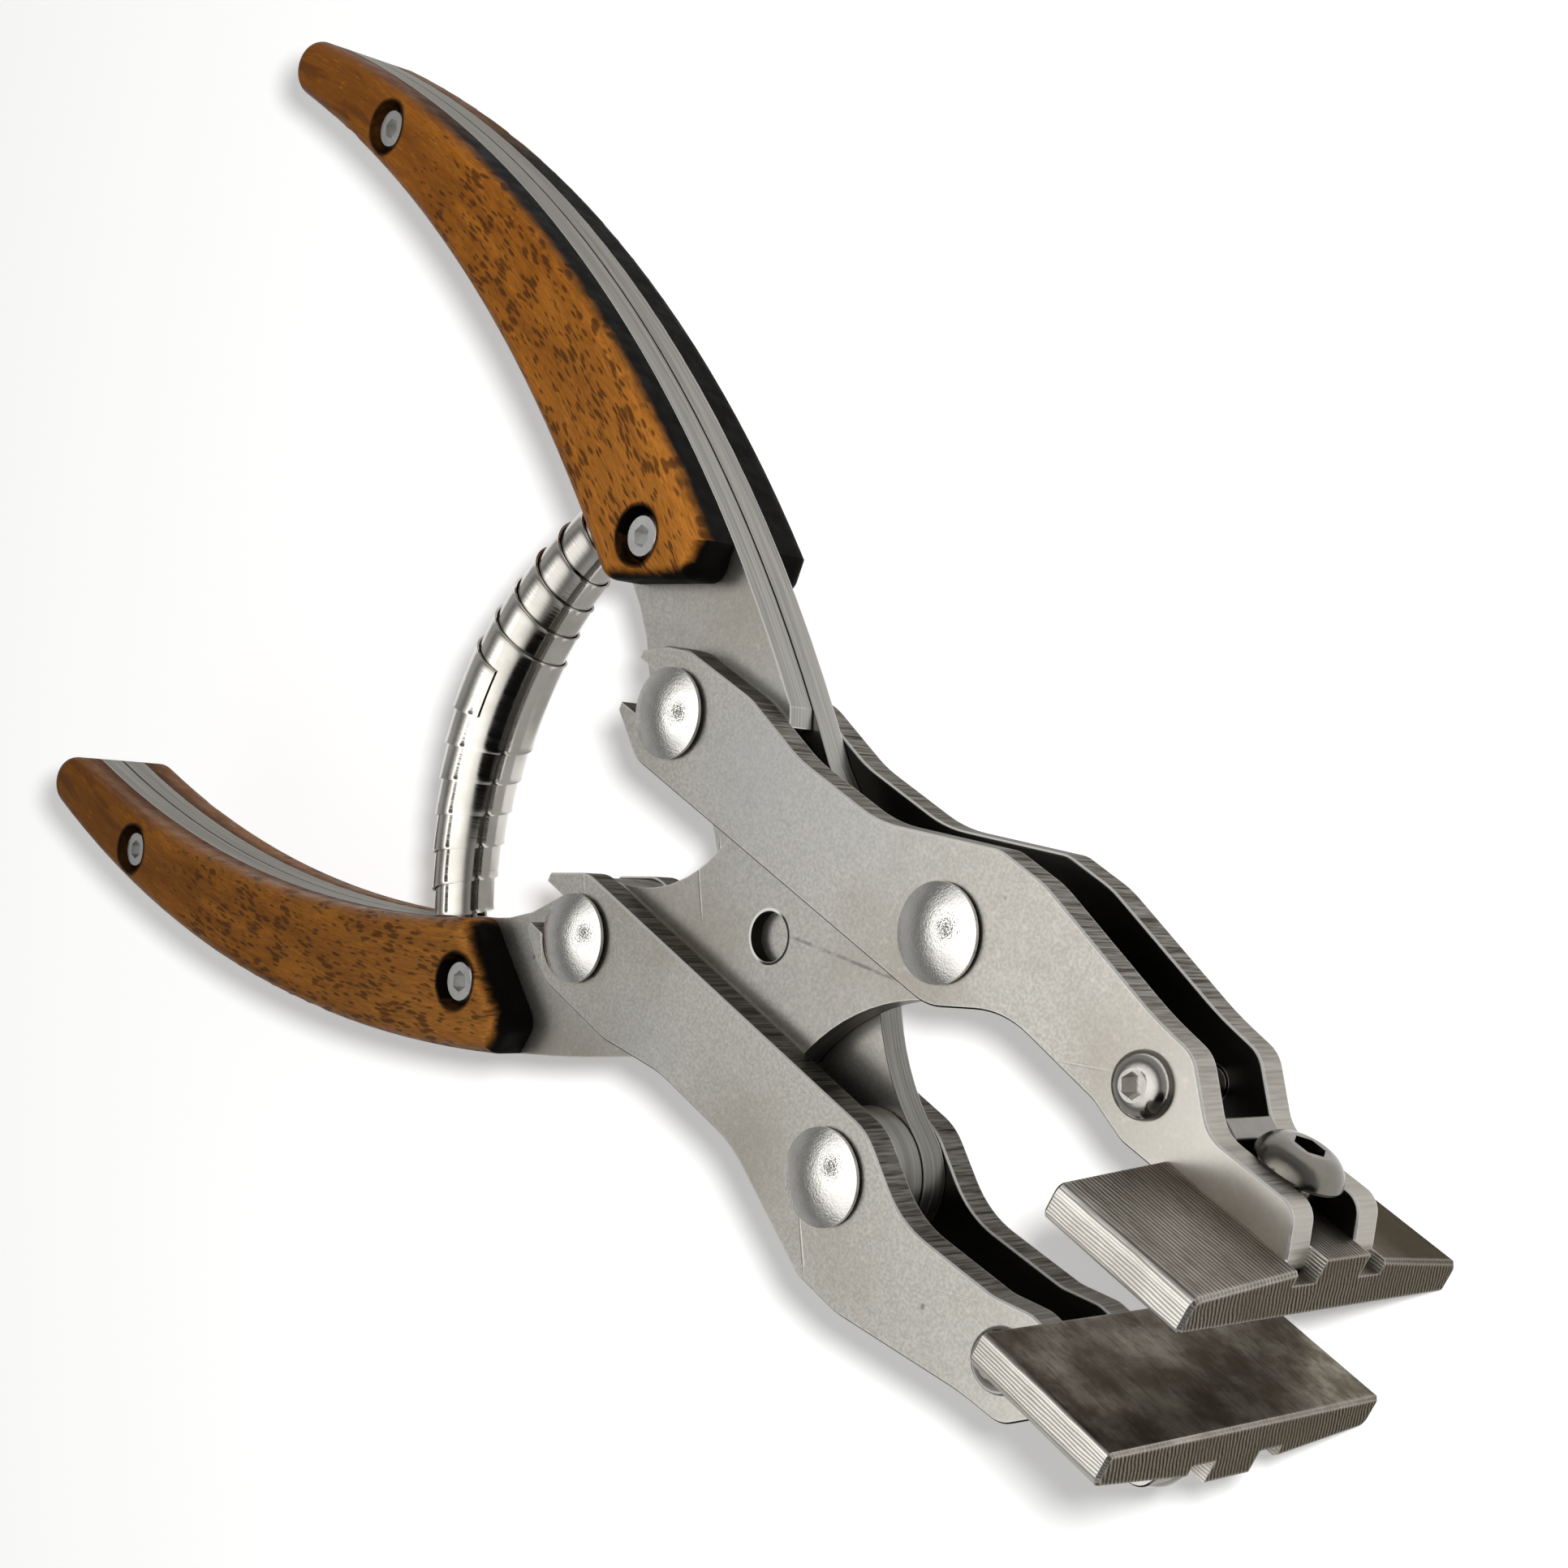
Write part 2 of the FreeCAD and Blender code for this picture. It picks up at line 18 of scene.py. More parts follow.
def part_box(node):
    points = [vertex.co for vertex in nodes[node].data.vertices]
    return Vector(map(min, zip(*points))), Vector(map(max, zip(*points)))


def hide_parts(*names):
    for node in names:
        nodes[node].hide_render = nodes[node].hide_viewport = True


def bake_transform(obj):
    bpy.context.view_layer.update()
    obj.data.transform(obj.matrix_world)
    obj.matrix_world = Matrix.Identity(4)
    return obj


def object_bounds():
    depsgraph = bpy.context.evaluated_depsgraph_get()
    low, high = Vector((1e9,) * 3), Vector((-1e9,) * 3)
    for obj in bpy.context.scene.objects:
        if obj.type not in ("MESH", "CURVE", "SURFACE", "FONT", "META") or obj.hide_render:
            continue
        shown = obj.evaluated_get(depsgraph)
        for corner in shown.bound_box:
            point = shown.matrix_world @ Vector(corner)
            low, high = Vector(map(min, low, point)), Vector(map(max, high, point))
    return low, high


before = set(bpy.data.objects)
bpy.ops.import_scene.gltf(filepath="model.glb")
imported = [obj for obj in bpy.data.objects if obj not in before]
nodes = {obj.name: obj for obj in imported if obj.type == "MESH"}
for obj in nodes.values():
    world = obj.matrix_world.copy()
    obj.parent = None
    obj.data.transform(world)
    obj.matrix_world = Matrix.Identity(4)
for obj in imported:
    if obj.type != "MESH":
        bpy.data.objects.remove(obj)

cad_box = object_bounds()
print("pieces in the frame:", len(nodes))
print("box:", [[round(c, 4) for c in corner] for corner in cad_box])

# %% [markdown]
# ## Camera
# The tool is seen from in front of its jaws, above and to the upper side, close enough
# for the nose to look much larger than the handle tips. The lens is a short telephoto.
# The centre pin's axis is the point that everything is measured from: a stand-alone
# origin would do as well, but the pin is where both handles meet, so it never moves.

# %% Measure from the centre pin
low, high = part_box("centre_pivot_pin")
PIVOT = (low + high) / 2


def mm(x, y, z=0.0):
    """A point in millimetres from the centre pin's middle, as a position in the frame."""
    return PIVOT + Vector((x, y, z)) / 1000


print("centre pin at", [round(c, 4) for c in PIVOT])

# %% Camera
EYE = (136.61, 79.93, 162.38)                   # mm from the centre pin
RIGHT = Vector((0.60010, 0.38724, -0.69995))    # the view's own three directions
DOWN = Vector((0.48439, -0.87226, -0.06727))
AHEAD = Vector((-0.63659, -0.29868, -0.71102))
FILM, LENS = 36, 55.02

camera_data = bpy.data.cameras.new("camera")
camera_data.lens = LENS
camera_data.sensor_width = FILM
camera_data.clip_start = 0.01
camera_data.clip_end = 20
camera = bpy.data.objects.new("camera", camera_data)
bpy.context.scene.collection.objects.link(camera)
turn = Matrix((RIGHT, -DOWN, -AHEAD)).transposed()
camera.matrix_world = Matrix.Translation(mm(*EYE)) @ turn.to_4x4()
bpy.context.scene.camera = camera
print("camera at", [round(c, 4) for c in camera.location])

# %% [markdown]
# ## Tools for building finishes
# A finish here is a few things on top of each other: a base colour, marks from the
# cutter, painted shade in the low places and painted highlights along sharp edges. Each
# one is a small sum of noise and distance, so one helper class with short calls keeps
# every recipe readable. Everything is placed in the piece's own space, so it moves with
# the piece.

# %% A material with short calls
VECTOR_NUMBERS = ("LENGTH", "DOT_PRODUCT", "DISTANCE")      # vector sums whose answer is one number
given = set()                                               # names of the pieces that have a finish


class Finish:
    """One material, with short calls that add and join its nodes."""

    def __init__(self, name):
        self.material = bpy.data.materials.new(name)
        self.material.use_nodes = True
        self.tree = self.material.node_tree
        self.shader = self.tree.nodes["Principled BSDF"]
        self.coords = self.tree.nodes.new("ShaderNodeTexCoord")
        self.point = self.coords.outputs["Object"]
        self.normal = self.coords.outputs["Normal"]

    def put(self, socket, value):
        if isinstance(value, bpy.types.NodeSocket):
            self.tree.links.new(value, socket)
        elif value is not None:
            socket.default_value = value

    def set(self, name, value):
        self.put(self.shader.inputs[name], value)

    def math(self, operation, a, b=None):
        node = self.tree.nodes.new("ShaderNodeMath")
        node.operation = operation
        for socket, value in zip(node.inputs, (a, b)):
            self.put(socket, value)
        return node.outputs[0]

    def product(self, first, *others):
        """Multiplies any number of values, from the left."""
        for other in others:
            first = self.math("MULTIPLY", first, other)
        return first

    def unlike(self, a):
        """1 where a mask is 0, and 0 where it is 1."""
        return self.math("SUBTRACT", 1.0, a)

    def vector(self, operation, a, b=None):
        node = self.tree.nodes.new("ShaderNodeVectorMath")
        node.operation = operation
        self.put(node.inputs[0], a)
        self.put(node.inputs[1], b)
        return node.outputs["Value" if operation in VECTOR_NUMBERS else 0]

    def split(self, a):
        node = self.tree.nodes.new("ShaderNodeSeparateXYZ")
        self.put(node.inputs[0], a)
        return node.outputs

    def join(self, x, y, z):
        node = self.tree.nodes.new("ShaderNodeCombineXYZ")
        for socket, value in zip(node.inputs, (x, y, z)):
            self.put(socket, value)
        return node.outputs[0]

    def stretch(self, a, x, y, z):
        return self.vector("MULTIPLY", a, (x, y, z))

    def noise(self, a, scale, detail=3.0, rough=0.55, distortion=0.0):
        node = self.tree.nodes.new("ShaderNodeTexNoise")
        self.put(node.inputs["Vector"], a)
        node.inputs["Scale"].default_value = scale
        node.inputs["Detail"].default_value = detail
        node.inputs["Roughness"].default_value = rough
        node.inputs["Distortion"].default_value = distortion
        return node.outputs[0]

    def cells(self, a, scale):
        """Distance to the nearest of a scatter of points, in cell widths."""
        node = self.tree.nodes.new("ShaderNodeTexVoronoi")
        self.put(node.inputs["Vector"], a)
        node.inputs["Scale"].default_value = scale
        return node.outputs["Distance"]

    def span(self, a, low, high, to_low=0.0, to_high=1.0):
        """Maps a value smoothly from one span to another, held at both ends."""
        node = self.tree.nodes.new("ShaderNodeMapRange")
        node.interpolation_type = "SMOOTHSTEP"
        node.clamp = True
        for socket, value in zip(node.inputs, (a, low, high, to_low, to_high)):
            self.put(socket, value)
        return node.outputs[0]

    def mix(self, factor, a, b):
        """Mixes two colours."""
        node = self.tree.nodes.new("ShaderNodeMix")
        node.data_type = "RGBA"
        self.put(node.inputs[0], factor)
        self.put(node.inputs[6], a + (1,) if isinstance(a, tuple) else a)
        self.put(node.inputs[7], b + (1,) if isinstance(b, tuple) else b)
        return node.outputs[2]

    def choose(self, factor, a, b):
        """Mixes two plain values."""
        node = self.tree.nodes.new("ShaderNodeMix")
        for socket, value in zip((node.inputs[0], node.inputs[2], node.inputs[3]), (factor, a, b)):
            self.put(socket, value)
        return node.outputs[0]

    def ridge(self, across, pitch):
        """Even parallel ridges along a surface: 1 on each crest, 0 in each groove."""
        wave = self.math("SINE", self.math("MULTIPLY", across, 2 * math.pi / pitch))
        return self.math("ADD", self.math("MULTIPLY", wave, 0.5), 0.5)

    def bump(self, height, depth, strength):
        node = self.tree.nodes.new("ShaderNodeBump")
        node.inputs["Strength"].default_value = strength
        node.inputs["Distance"].default_value = depth
        self.put(node.inputs["Height"], height)
        return node.outputs[0]

    def flatness(self):
        """1 on faces that look along the plates' thickness, 0 on their cut edges."""
        return self.span(self.math("ABSOLUTE", self.split(self.normal)[2]), 0.55, 0.85)

    def edge_mask(self, radius):
        """1 along sharp edges: where a normal rounded over that radius leaves the true one."""
        bevel = self.tree.nodes.new("ShaderNodeBevel")
        bevel.samples = 4
        bevel.inputs["Radius"].default_value = radius
        geometry = self.tree.nodes.new("ShaderNodeNewGeometry")
        agree = self.vector("DOT_PRODUCT", bevel.outputs[0], geometry.outputs["Normal"])
        return self.span(agree, 0.995, 0.90)

    def give(self, *names):
        for name in names:
            slots = nodes[name].data.materials
            slots.clear()
            slots.append(self.material)
            given.add(name)


def both(*names):
    """The upper and lower piece of each name."""
    return [half + name for half in ("upper_", "lower_") for name in names]


print("a pair:", both("pad"))

# %% [markdown]
# ## Floor and light
# A seamless white sweep lies under the tool, in a studio of soft light. Polished steel
# only looks like steel when it has something to reflect, so the surroundings are built
# like a real set: dim at the horizon, bright overhead, a ring lamp over the jaws, and a
# dark spot where the studio's black cloth would stand. Paper and wood get less of
# that light than the steel mirrors, so that the one lamp beside the camera can draw the
# short soft shadow. A sun lamp would draw shadows that run the wrong way at this
# distance; a lamp beside the lens keeps each shadow close to its piece.

# %% Floor
FLOOR_HALF = 3.0
FLOOR_GAP = 0.0002          # under the lowest point of the tool
FLOOR_GLOW = 0.30


def make_floor():
    z = cad_box[0][2] - FLOOR_GAP
    corners = [(-FLOOR_HALF, -FLOOR_HALF, z), (FLOOR_HALF, -FLOOR_HALF, z),
               (FLOOR_HALF, FLOOR_HALF, z), (-FLOOR_HALF, FLOOR_HALF, z)]
    mesh = bpy.data.meshes.new("floor")
    mesh.from_pydata(corners, [], [(0, 1, 2, 3)])
    floor = bpy.data.objects.new("floor", mesh)
    bpy.context.scene.collection.objects.link(floor)
    paint = Finish("floor_paper")
    tone = paint.noise(paint.point, 3.0, 2.0)
    paint.set("Base Color", paint.mix(tone, (0.79, 0.79, 0.79), (0.81, 0.81, 0.81)))
    paint.set("Roughness", paint.span(tone, 0.3, 0.7, 0.8, 0.9))
    paint.set("Emission Color", (1, 1, 1, 1))
    paint.set("Emission Strength", FLOOR_GLOW)
    mesh.materials.append(paint.material)


make_floor()
print("floor at", round(cad_box[0][2] - FLOOR_GAP, 5))

# %% Surroundings that the steel reflects
HEIGHT_LIGHT = ((0.0, 0.22), (0.32, 0.20), (0.58, 0.10), (0.68, 0.19), (0.80, 0.58), (1.0, 1.0))
LIGHT_GAIN = 2.0                        # each light above is doubled
RING = (-0.37, -0.13, 0.92)             # direction of the ring lamp
CLOTH = (0.90, -0.27, 0.34)             # direction of the dark cloth
PATCHES = ((RING, 13, 3, 2.4), (RING, 7.5, 2.5, 0.10), (CLOTH, 25, 9, 0.005))   # degrees, light
ON_MATT, ON_CAMERA = 0.30, 0.98         # light on matt surfaces, and as seen behind the tool

world = bpy.data.worlds.new("studio")
bpy.context.scene.world = world
world.use_nodes = True
sky = world.node_tree
sky_coords = sky.nodes.new("ShaderNodeTexCoord")


def sky_patch(direction, wide, soft):
    """1 inside a cone about a direction of the surroundings, fading to 0."""
    dot = sky.nodes.new("ShaderNodeVectorMath")
    dot.operation = "DOT_PRODUCT"
    sky.links.new(sky_coords.outputs["Generated"], dot.inputs[0])
    dot.inputs[1].default_value = Vector(direction).normalized()
    fade = sky.nodes.new("ShaderNodeMapRange")
    fade.interpolation_type = "SMOOTHSTEP"
    sky.links.new(dot.outputs["Value"], fade.inputs[0])
    fade.inputs[1].default_value = math.cos(math.radians(wide + soft))
    fade.inputs[2].default_value = math.cos(math.radians(wide))
    return fade.outputs[0]


def sky_mix(level, where, to):
    """Changes the light to another one where a mask is 1."""
    mix = sky.nodes.new("ShaderNodeMix")
    mix.data_type = "FLOAT"
    sky.links.new(where, mix.inputs[0])
    sky.links.new(level, mix.inputs[2])
    mix.inputs[3].default_value = to
    return mix.outputs[0]


height = sky.nodes.new("ShaderNodeSeparateXYZ")
sky.links.new(sky_coords.outputs["Generated"], height.inputs[0])
ramp = sky.nodes.new("ShaderNodeValToRGB")
sky.links.new(height.outputs[2], ramp.inputs[0])
stops = ramp.color_ramp.elements
stops[0].position, stops[1].position = HEIGHT_LIGHT[0][0], HEIGHT_LIGHT[-1][0]
for position, light in HEIGHT_LIGHT[1:-1]:
    stops.new(position)
for stop, (position, light) in zip(stops, HEIGHT_LIGHT):
    stop.color = (light, light, light, 1)
gain = sky.nodes.new("ShaderNodeMath")
gain.operation = "MULTIPLY"
sky.links.new(ramp.outputs[0], gain.inputs[0])
gain.inputs[1].default_value = LIGHT_GAIN
level = gain.outputs[0]
for direction, wide, soft, light in PATCHES:
    level = sky_mix(level, sky_patch(direction, wide, soft), light)
rays = sky.nodes.new("ShaderNodeLightPath")
level = sky_mix(level, rays.outputs["Is Diffuse Ray"], ON_MATT)
level = sky_mix(level, rays.outputs["Is Camera Ray"], ON_CAMERA)
sky.links.new(level, sky.nodes["Background"].inputs["Strength"])
sky.nodes["Background"].inputs["Color"].default_value = (1.0, 0.99, 0.97, 1)
print("patches of light and dark:", len(PATCHES))

# %% Lamp beside the camera, for the short soft shadow
LAMP_OUT = 0.013            # to the right of the lens, and as far above it
LAMP_ENERGY, LAMP_RADIUS = 46, 0.010

lamp_data = bpy.data.lights.new("shadow_lamp", "POINT")
lamp_data.energy = LAMP_ENERGY
lamp_data.shadow_soft_size = LAMP_RADIUS
lamp_data.use_nodes = True
lamp_nodes = lamp_data.node_tree
even = lamp_nodes.nodes.new("ShaderNodeLightFalloff")
even.inputs["Strength"].default_value = 1.0
lamp_nodes.links.new(even.outputs["Constant"], lamp_nodes.nodes["Emission"].inputs["Strength"])
lamp = bpy.data.objects.new("shadow_lamp", lamp_data)
bpy.context.scene.collection.objects.link(lamp)
lamp.location = camera.location + RIGHT * LAMP_OUT - DOWN * LAMP_OUT
lamp.visible_glossy = False
bpy.context.scene.view_settings.view_transform = "Standard"
bpy.context.scene.view_settings.look = "None"
print("lamp at", [round(c, 4) for c in lamp.location])

# %% [markdown]
# ## Steel plates
# The plates are blasted stainless: matte, warm grey, with a fine even speckle, slow
# warm and cool patches, a few tiny pits and the odd faint scratch. The jaw plates' cut
# edges show the cutter's fine ridges straight across the thickness; the grip plates'
# edges were brushed along their length after cutting. The jaw plates' broken edges carry
# a painted highlight along the top and painted shade along the bottom. Sharp edges get
# a painted highlight line; painted shade darkens the seam between grip plates, the pin
# hole's wall and the jaw plates' inner faces; the jaws get a painted highlight towards
# the nose. The speckle stays in the colour: as relief or as uneven gloss it would turn
# into pepper where the steel mirrors something dark.

# %% Faces of the plates
SCRATCH_ANGLES = ((-0.9, 900, 1.3), (0.45, 1100, 5.1))      # radians, lines a metre, seed
PIT_SPACING = 160                                           # one pit a cell, cells a metre


def speckled(steel, bright, dull):
    """Blasted face: two sizes of speckle over slow warm and cool patches."""
    fine = steel.noise(steel.point, 3100, 2.0, 0.55)
    patch = steel.noise(steel.point, 45, 3.0, 0.5)
    cool = steel.noise(steel.vector("ADD", steel.point, (0.31, 0.17, 0)), 28, 2.0)
    flecks = steel.noise(steel.point, 1100, 2.0, 0.5)
    colour = steel.mix(steel.span(fine, 0.3, 0.7), dull, bright)
    colour = steel.mix(steel.span(patch, 0.42, 0.70, 0.0, 0.65), colour, (0.40, 0.365, 0.305))
    colour = steel.mix(steel.span(cool, 0.52, 0.75, 0.0, 0.4), colour, (0.56, 0.57, 0.60))
    colour = steel.mix(steel.span(flecks, 0.56, 0.78, 0.0, 0.35), colour, (0.72, 0.69, 0.62))
    colour = steel.mix(steel.span(flecks, 0.44, 0.24, 0.0, 0.20), colour, (0.36, 0.345, 0.31))
    return fine, colour


def scratches(steel, angle, density, seed):
    """Thin straight lines: noise stretched a long way keeps only its crests."""
    c, s = math.cos(angle), math.sin(angle)
    x, y, z = steel.split(steel.point)
    along = steel.math("ADD", steel.math("MULTIPLY", x, c), steel.math("MULTIPLY", y, s))
    across = steel.math("SUBTRACT", steel.math("MULTIPLY", y, c), steel.math("MULTIPLY", x, s))
    lines = steel.noise(steel.join(steel.math("MULTIPLY", along, 0.03), across, seed), density, 1.0)
    where = steel.noise(steel.join(along, across, seed + 2.0), 60, 1.0)
    return steel.product(steel.span(lines, 0.70, 0.76), steel.span(where, 0.50, 0.62))


def blasted_face(steel, bright, dull):
    """The face's colour, with its speckle and scratches returned for the relief."""
    fine, face = speckled(steel, bright, dull)
    lines = steel.math("MAXIMUM", *[scratches(steel, *line) for line in SCRATCH_ANGLES])
    pits = steel.span(steel.cells(steel.point, PIT_SPACING), 0.055, 0.03)
    face = steel.mix(steel.math("MULTIPLY", lines, 0.35), face, (0.75, 0.74, 0.71))
    face = steel.mix(steel.math("MULTIPLY", pits, 0.6), face, (0.16, 0.15, 0.13))
    return fine, lines, face


print("scratch directions:", len(SCRATCH_ANGLES), "pit spacing, mm:", 1000 / PIT_SPACING)

# %% Edges, seams and the middle of the tool
NOSE_FROM, NOSE_TO = mm(36, 0).x, mm(56, 0).x   # painted highlight: the jaws get brighter over this length
HOLE_WALL = (0.00258, 0.00248)                  # m from the pin's axis: painted shade darkens the hole's wall
LIP_OUT, LIP_IN = (0.00274, 0.00264), (0.00241, 0.00244)
SEAM = (0.00017, 0.00011)                       # half the painted shade line between two grip plates
SCRIBE_START, SCRIBE_SLOPE = (0.0021, 0.0014), 0.275
# colour of the painted shade on downward bevels and in the seams
SHADE_PAINT = (0.03, 0.028, 0.025)


def scribed_line(steel, place, flat):
    """A faint dark line from the pin's hole towards the upper jaw's front rivet."""
    x, y, z = place
    drop = steel.math("SUBTRACT", steel.math("SUBTRACT", y, SCRIBE_START[1]),
                      steel.math("MULTIPLY", steel.math("SUBTRACT", x, SCRIBE_START[0]), SCRIBE_SLOPE))
    line = steel.product(steel.span(steel.math("ABSOLUTE", drop), 0.00026, 0.00006), flat,
                         steel.span(x, 0.0024, 0.0034), steel.span(x, 0.0185, 0.0165),
                         steel.span(z, 0.0, 0.001))
    faded = steel.span(steel.noise(steel.point, 700, 2.0), 0.30, 0.60, 0.10, 0.55)
    return steel.math("MULTIPLY", line, faded)


def broken_edge(steel, colour):
    """Bevels: a painted highlight where they look up the jaw, painted shade where they look down."""
    nx, ny, nz = steel.split(steel.normal)
    lean = steel.math("ABSOLUTE", nz)
    bevel = steel.math("MULTIPLY", steel.span(lean, 0.35, 0.55), steel.span(lean, 0.92, 0.80))
    upward = steel.span(steel.math("ADD", ny, steel.math("MULTIPLY", nx, 0.3)), -0.15, 0.15)
    return steel.mix(bevel, colour, steel.mix(upward, SHADE_PAINT, (0.95, 0.94, 0.91)))


def hole_lip(steel, colour, x, from_pin, flat):
    """The pin hole's rim: a painted highlight on one side, a painted shade line on the other."""
    lip = steel.product(steel.span(from_pin, *LIP_OUT), steel.span(from_pin, *LIP_IN), flat)
    side = steel.span(x, -0.0004, 0.0008)
    return steel.mix(lip, colour, steel.mix(side, (0.90, 0.89, 0.86), (0.05, 0.046, 0.04)))


print("jaws brighten from", round(NOSE_FROM, 4), "to", round(NOSE_TO, 4))

# %% Plate finishes
INSIDE = 0.0034             # painted shade: jaw plates are dark on the side nearer the middle than this


def plate_finish(name, bright, dull, edge_bright, edge_dark, grip):
    steel = Finish(name)
    fine, lines, face = blasted_face(steel, bright, dull)
    flat = steel.flatness()
    ridges = steel.noise(steel.stretch(steel.point, 0.012, 0.012, 1.0) if grip
                         else steel.stretch(steel.point, 1.0, 1.0, 0.04), 3600 if grip else 3900, 3.0, 0.65)
    cut = steel.mix(steel.span(ridges, 0.32, 0.68), edge_dark, edge_bright)
    if not grip:
        # painted highlight: the jaw plates' cut edges and faces brighten towards the nose
        nose = steel.span(steel.split(steel.point)[0], NOSE_FROM, NOSE_TO, 0.0, 0.6)
        cut = steel.mix(nose, cut, tuple(c * 2.0 for c in edge_bright))
        face = steel.mix(steel.math("MULTIPLY", nose, 0.85), face, (0.80, 0.78, 0.73))
    colour = steel.mix(flat, cut, face)
    x, y, z = steel.split(steel.vector("SUBTRACT", steel.point, tuple(PIVOT)))
    depth = steel.math("ABSOLUTE", z)
    if not grip:
        # painted shade on the jaw plates' inner faces, between the two plates
        colour = steel.mix(steel.span(depth, INSIDE, INSIDE - 0.0002), colour, (0.055, 0.052, 0.047))
    from_pin = steel.vector("LENGTH", steel.join(x, y, 0.0))
    # painted shade: mask of the centre pin hole's wall
    wall = steel.math("MULTIPLY", steel.span(from_pin, *HOLE_WALL), steel.unlike(flat))
    # painted highlight: a bright line along the sharp edges, weaker on the pin hole's wall
    rim = steel.math("MULTIPLY", steel.edge_mask(0.00025), steel.math("SUBTRACT", 0.75, wall))
    if grip:
        colour = steel.mix(scribed_line(steel, (x, y, z), flat), colour, (0.10, 0.093, 0.083))
        # the painted edge highlight stops short of the seam between grip plates
        rim = steel.math("MULTIPLY", rim, steel.span(depth, 0.0006, 0.0010))
        # painted shade: a dark line in the seam between two grip plates
        seam = steel.math("MULTIPLY", steel.unlike(flat), steel.span(depth, *SEAM))
        colour = steel.mix(seam, colour, SHADE_PAINT)
    # painted shade on the wall of the centre pin's hole
    colour = steel.mix(wall, colour, (0.02, 0.018, 0.016))
    # painted highlight along the sharp edges
    colour = steel.mix(rim, colour, (0.85, 0.84, 0.81))
    # painted highlight on upward bevels, painted shade on downward ones
    colour = broken_edge(steel, colour)
    steel.set("Base Color", hole_lip(steel, colour, x, from_pin, flat))
    steel.set("Metallic", 1.0)
    steel.set("Specular Tint", (0.50, 0.49, 0.47, 1))
    rough_face = steel.span(steel.noise(steel.point, 70, 2.0), 0.3, 0.7, 0.29, 0.34)
    rough_cut = steel.span(ridges, 0.3, 0.7, 0.30, 0.46)
    steel.set("Roughness", steel.choose(flat, rough_cut, rough_face))
    relief = steel.math("ADD", steel.math("MULTIPLY", fine, 0.03), lines)
    steel.set("Normal", steel.bump(steel.choose(flat, ridges, relief), 0.00004, 0.55))
    return steel


jaw_plates = both("jaw_front_plate", "jaw_back_plate")
grip_plates = both("lever", "doubler", "scale_barrels", "spring_peg", "front_spacer") + ["centre_pivot_pin"]
plate_finish("jaw_steel", (0.63, 0.615, 0.575), (0.49, 0.475, 0.44),
             (0.27, 0.257, 0.235), (0.05, 0.045, 0.038), grip=False).give(*jaw_plates)
plate_finish("handle_steel", (0.585, 0.57, 0.535), (0.465, 0.455, 0.425),
             (0.38, 0.37, 0.345), (0.24, 0.235, 0.215), grip=True).give(*grip_plates)
print("jaw steel:", len(jaw_plates), "handle steel:", len(grip_plates))

# %% [markdown]
# ## Wood grips
# Four bowed scales of a dark orange-brown hardwood. Short dark pores run along the
# bow, dense in the middle and front, and long wavy bands cross the grain near the tip.
# The scales were cut with a hot process that charred their outer walls, front ends and
# screw holes black; the char fades to brown before the tip. A picture of wood would
# smear over the bow, so the grain is worked out along the arc that the grip follows.

# %% The arc of the grain
BOW_R = 169.5                                       # mm, the grip's middle line
BOW_ENDS = ((-115.89, 47.94), (-24.0, 27.0))        # mm from the centre pin
TIP_X = mm(-115.9, 0).x
SCALE_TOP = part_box("upper_front_scale")[1].z - PIVOT.z


def bow_centre(side):
    """Centre of the arc that the upper (1) or lower (-1) grip's middle line follows."""
    a, b = Vector(BOW_ENDS[0]), Vector(BOW_ENDS[1])
    chord = b - a
    drop = math.sqrt(BOW_R ** 2 - (chord.length / 2) ** 2)
    centre = (a + b) / 2 + Vector((chord.y, -chord.x)).normalized() * drop
    return mm(centre.x, side * centre.y)


print("bow centre:", [round(c, 4) for c in bow_centre(1)])

# %% Colour and pores of the wood
PALER = (1.10, 1.22, 2.0)               # gain in red, green and blue at the front
PORE_SIZES = ((1500, 0.49), (2200, 0.50))
PORE_DARK, WAVE_DARK = (0.035, 0.012, 0.004), (0.06, 0.020, 0.006)


def shade(colour, factor):
    return tuple(c * factor for c in colour)


def wood_colour(wood, grain, from_tip, warm, dark):
    """Slow bands, fine fibres and clouds; darker at the tip and paler at the front."""
    bands = wood.noise(wood.stretch(grain, 0.10, 1.0, 1.0), 420, 3.0, 0.6, 0.6)
    fibres = wood.noise(wood.stretch(grain, 0.10, 1.0, 0.6), 5200, 3.0, 0.7)
    clouds = wood.noise(grain, 75, 3.0)
    front = tuple(c * k for c, k in zip(warm, PALER))
    colour = wood.mix(wood.span(bands, 0.3, 0.7), dark, warm)
    colour = wood.mix(wood.span(from_tip, 0.030, 0.008, 0.0, 0.75), colour, shade(dark, 0.8))
    colour = wood.mix(wood.span(from_tip, 0.045, 0.085, 0.0, 0.5), colour, front)
    colour = wood.mix(wood.span(fibres, 0.42, 0.70, 0.0, 0.65), colour, shade(warm, 0.40))
    colour = wood.mix(wood.span(fibres, 0.42, 0.28, 0.0, 0.45), colour, shade(warm, 1.5))
    return fibres, wood.mix(wood.span(clouds, 0.50, 0.75, 0.0, 0.45), colour, shade(dark, 0.6))


